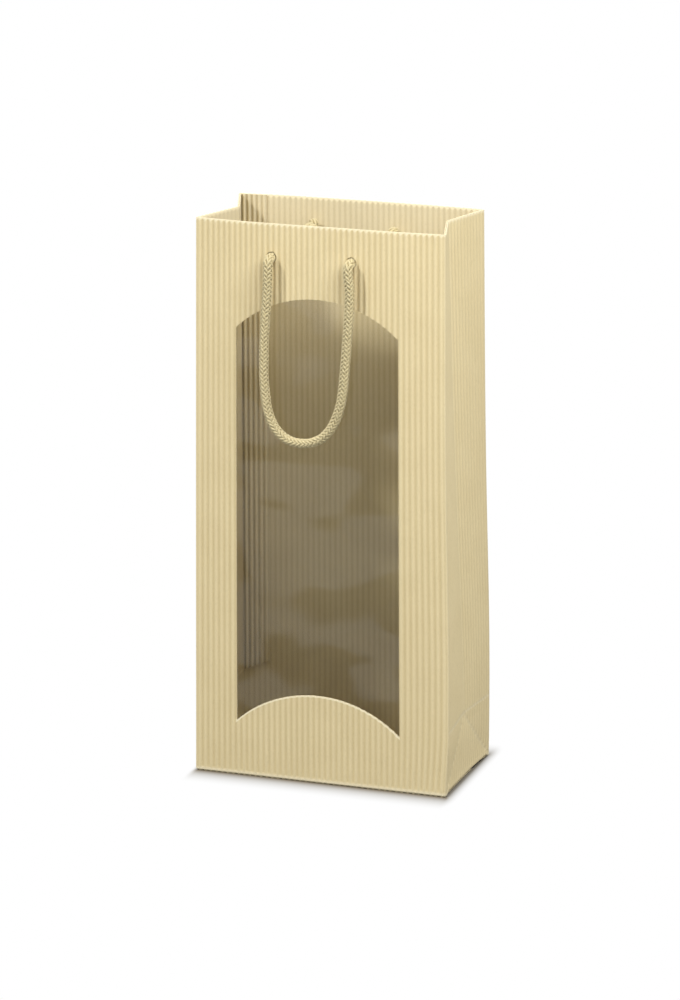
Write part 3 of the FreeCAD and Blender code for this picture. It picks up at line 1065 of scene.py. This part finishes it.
layBoard("bottomFrontFlap", flap, frontFlapPlace, True, "bottom_front_flap")
layBoard("bottomRearFlap", flap, rearFlapPlace, False, "bottom_rear_flap")
layBoard("bottomRightTuck", tuck, tuckPlace(1), True, "bottom_right_tuck")
layBoard("bottomLeftTuck", tuck, tuckPlace(-1), False, "bottom_left_tuck")
layBoard("seamFlap", seam, seamPlace, False, "seam_flap", seamCornerShade, seamSlot)
print("bottom and seam glued")

# the window film
film = {
    "half": 70.0,
    "low": 27.0,
    "high": 348.0,
    "thick": 0.15,
    "glue": 0.02,
    "ripple": 0.35,
    "crossWave": (9.0, 31.0),  # lengths across and up
    "crossBend": (0.8, 23.0),
    "crossSlant": 40.0,
    "slantWave": (17.0, 13.0),
    "slantShare": 0.6,
    "sideFree": 14.0,  # it ripples freely this far from the window's sides, foot and top
    "footFree": 30.0,
    "topFree": 25.0,
    "across": 70,
    "up": 160,
    "tint": (0.97, 0.96, 0.92),
    "dull": 0.25,  # share of a plain film's gloss, where it is calm
    "shine": 0.85,  # and where it is drawn tight
    "blotch": (17, 1, (1, 1, 1.9)),  # noise of the tight patches, and where it passes from calm to tight
    "patchEdge": (0.47, 0.53),
    "crinkle": (42, 2, (1, 1, 0.6)),
    "crinkleBump": (0.25, 0.0008),
    "roughness": 0.07,
    "bend": 1.46,  # refractive index
}


def filmFinish(look):
    material, tree, shader = newFinish("clearFilm")
    tree.nodes.remove(shader)
    clear = addNode(tree, "ShaderNodeBsdfTransparent")
    clear.inputs["Color"].default_value = (*look["tint"], 1)
    gloss = addNode(tree, "ShaderNodeBsdfGlossy")
    gloss.inputs["Roughness"].default_value = look["roughness"]
    fresnel = addNode(tree, "ShaderNodeFresnel")
    fresnel.inputs["IOR"].default_value = look["bend"]
    blotch = addNoise(tree, *look["blotch"])
    patch = addFade(tree, blotch, *look["patchEdge"], look["dull"], look["shine"])
    share = addMath(tree, "MULTIPLY", fresnel.outputs["Fac"], patch)
    crinkle = addNoise(tree, *look["crinkle"])
    addBump(tree, gloss, crinkle, *look["crinkleBump"])
    surface = addMixShader(tree, share, clear.outputs["BSDF"], gloss.outputs["BSDF"])
    tree.links.new(surface, tree.nodes["Material Output"].inputs["Surface"])
    return material


def filmRipple(x, z):
    # waves across the film, and slanting ones
    wide, tall = film["crossWave"]
    bend, bendLength = film["crossBend"]
    cross = math.sin(x / wide + bend * math.sin(z / bendLength)) * math.sin(z / tall + x / film["crossSlant"])
    slantAcross, slantUp = film["slantWave"]
    return cross + film["slantShare"] * math.sin(x / slantAcross - z / slantUp)


def stretchFilm(name):
    glueLine = innerDepth + film["glue"]

    def place(column, row):
        x = window["middle"] + film["half"] * (2 * column - 1)
        z = film["low"] + (film["high"] - film["low"]) * row
        core, normal, radius = wideSkin(-1, x / bag["flatHalf"], z)
        inside = window["half"] - abs(x - window["middle"])
        free = smoothStep(0, film["sideFree"], inside)
        free *= smoothStep(window["low"], window["low"] + film["footFree"], z)
        free *= smoothStep(0, film["topFree"], window["high"] + window["rise"] - z)
        return core + normal * (radius - glueLine - film["ripple"] * free * (1 + filmRipple(x, z)))

    across, up = evenSteps(0, 1, film["across"]), evenSteps(0, 1, film["up"])
    mesh = sheetMesh(across, up, place, film["thick"], False, [filmFinish(film)])
    for face in mesh.polygons:
        face.use_smooth = True
    piece = addObject(name, mesh)
    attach(piece, "bag")
    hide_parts("window_film")


stretchFilm("windowFilm")
print("film in place")

# the stopper knots
knot = {
    "inside": 43.2,  # inner face of the panel
    "standOff": 8.6,  # from there to the middle of the knot
    "droop": 38.0,  # degrees that its axis leans down
    "size": 1.0,
    # across, up, along the axis
    "turns": [
        (0, 2.2, -6.6), (-3.0, 2.6, -4.8), (0, -2.25, -2.7), (3.3, -4.5, 0), (4.5, -2.25, 1.2),
        (3.2, 2.25, 0.8), (0, 4.5, 0), (-3.2, 2.25, -0.8), (-4.5, -2.25, -1.2), (-3.3, -4.5, 0),
        (0, -2.25, 2.7), (2.6, 1.8, 4.8), (2.2, 1.4, 8.0),
    ],
    "tail": [(1.6, -9.5, 1.5), (1.2, -16.5, 0.5), (0.8, -21.0, 0)],  # across, up, further inside
    "tailIn": 4.5,
    "holeDrop": 0.5,  # the cord lies this far below the middle of its hole
    "throughHole": (-0.2, 2.0),  # it starts just outside and comes straight in
    "resolution": 10,
    "fray": 2.2,
    "shifts": {"rearLeft": (-1.2, 0.7), "rearRight": (3.0, -1.4)},  # each is tied a little differently
}


def tieKnot(name, end, side, node):
    holeX, holeZ = handle["holes"][side]
    aside, raised = knot["shifts"].get(name.removesuffix("Knot"), (0, 0))
    droop = math.radians(knot["droop"])
    inward = Vector((0, -end, 0))
    up = Vector((0, 0, 1))
    axis = inward * math.cos(droop) - up * math.sin(droop)
    rise = up * math.cos(droop) + inward * math.sin(droop)
    hole = Vector((holeX, end * handle["faceY"], holeZ - knot["holeDrop"]))
    middle = Vector((holeX + aside, end * (knot["inside"] - knot["standOff"]), holeZ + raised))
    points = [hole + inward * deep for deep in knot["throughHole"]]
    for across, lift, along in knot["turns"]:
        points.append(middle + (Vector((side * across, 0, 0)) + rise * lift + axis * along) * knot["size"])
    for across, lift, deeper in knot["tail"]:
        points.append(middle + Vector((side * across, 0, lift)) + inward * (knot["tailIn"] + deeper))
    line = readLine([settle(place) for place in points], knot["resolution"])
    cordEnd = braidCord(name, line, knot["fray"])
    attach(cordEnd, "bag")
    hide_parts(node)


for end, endName in ((-1, "front"), (1, "rear")):
    for side, sideName in ((-1, "Left"), (1, "Right")):
        tieKnot(endName + sideName + "Knot", end, side, endName + "_" + sideName.lower() + "_cord_end")
print("knots tied")

# floor and light
floorSetup = {
    "half": 6.0,
    "seen": (0.24, 0.22, 0.185),  # painted shadow: what the camera sees of it beside the bag
    "contactShadow": (0.17, 0.14, 0.098),  # and a darker painted shadow right under its front edge
    "bounce": (0.21, 0.205, 0.19),  # what lights the bag from below
    "foot": (0.0902, 0.0465, 0.0),  # half of the bag's foot
    "closer": (3.0, 1.0, 1.0),  # the shadow is shorter at the sides
    "leftFade": (-0.0935, -0.088),  # and has gone at the left one
    "frontFade": (-0.0465, -0.0435),  # the contact's shade stays in front of this
    "contactRamp": (0.7, 0.97),
    "clearAt": 0.026,  # metres from the foot at which its shadow has gone
    "fading": 2.0,  # how fast it goes
}


def addSeen(tree):
    # 1 where the camera sees the surface, straight or in something glossy or clear
    light = addNode(tree, "ShaderNodeLightPath").outputs
    seen = light["Is Camera Ray"]
    for kind in ("Is Glossy Ray", "Is Transmission Ray"):
        seen = addMath(tree, "MAXIMUM", seen, light[kind])
    return seen


def floorFinish(setup):
    material, tree, shader = newFinish("paleFloor")
    tree.nodes.remove(shader)
    # painted shadow: near the foot the floor turns from white to a dark colour, by distance from the foot
    spot = addNode(tree, "ShaderNodeTexCoord").outputs["Object"]
    axes = addNode(tree, "ShaderNodeSeparateXYZ")
    tree.links.new(spot, axes.inputs["Vector"])
    spot = addVectorMath(tree, "ABSOLUTE", spot)
    spot = addVectorMath(tree, "SUBTRACT", spot, setup["foot"])
    spot = addVectorMath(tree, "MAXIMUM", spot, (0, 0, 0))
    spot = addVectorMath(tree, "MULTIPLY", spot, setup["closer"])
    reach = addVectorMath(tree, "LENGTH", spot)
    close = addFade(tree, reach, 0.0, setup["clearAt"], 1.0, 0.0, "LINEAR")
    dark = addMath(tree, "POWER", close, setup["fading"])
    notLeft = addFade(tree, axes.outputs["X"], *setup["leftFade"])
    dark = addMath(tree, "MULTIPLY", dark, notLeft)
    front = addFade(tree, axes.outputs["Y"], *setup["frontFade"], 1.0, 0.0)
    front = addMath(tree, "MULTIPLY", front, close)
    bounce = addNode(tree, "ShaderNodeBsdfDiffuse")
    bounce.inputs["Color"].default_value = (*setup["bounce"], 1)
    shadowed = addNode(tree, "ShaderNodeBsdfDiffuse")
    stops = list(zip(setup["contactRamp"], (setup["seen"], setup["contactShadow"])))
    tree.links.new(addRamp(tree, front, stops), shadowed.inputs["Color"])
    white = addNode(tree, "ShaderNodeEmission")
    near = addMixShader(tree, dark, white.outputs["Emission"], shadowed.outputs["BSDF"])
    whole = addMixShader(tree, addSeen(tree), bounce.outputs["BSDF"], near)
    tree.links.new(whole, tree.nodes["Material Output"].inputs["Surface"])
    return material


def layFloor(setup):
    bm = bmesh.new()
    bmesh.ops.create_grid(bm, x_segments=1, y_segments=1, size=setup["half"])
    floor = addObject("floor", meshFrom(bm, "floor", [floorFinish(setup)]))


layFloor(floorSetup)

studio = {
    "target": (0.0, 0.0, 0.2),
    "sky": 0.52,
    # azimuth from straight in front (left is negative), elevation, distance, size, watts
    "key": (-40, 42, 3.5, 0.45, 67.0),
    "side": (54, 50, 1.12, 0.8, 9.8),
    "fill": (-150, 30, 2.0, 1.0, 17.0),
}


def hangLamp(name, azimuth, elevation, distance, size, watts):
    away = directionTo(azimuth, elevation)
    data = bpy.data.lights.new(name, "AREA")
    data.shape = "DISK"
    data.size = size
    data.energy = watts
    lamp = addObject(name, data)
    lamp.location = Vector(studio["target"]) + away * distance
    lamp.rotation_mode = "QUATERNION"
    lamp.rotation_quaternion = (-away).to_track_quat("-Z", "Y")


def lightSky(level):
    # white to the camera, plain sky light to the bag
    world = bpy.data.worlds.new("studio")
    scene.world = world
    world.use_nodes = True
    tree = world.node_tree
    sky = tree.nodes["Background"]
    sky.inputs["Color"].default_value = (1, 1, 1, 1)
    strength = addFade(tree, addSeen(tree), 0.0, 1.0, level, 1.0, "LINEAR")
    tree.links.new(strength, sky.inputs["Strength"])


hangLamp("keyLamp", *studio["key"])
hangLamp("sideLamp", *studio["side"])
hangLamp("fillLamp", *studio["fill"])
lightSky(studio["sky"])
print("floor and lamps set")
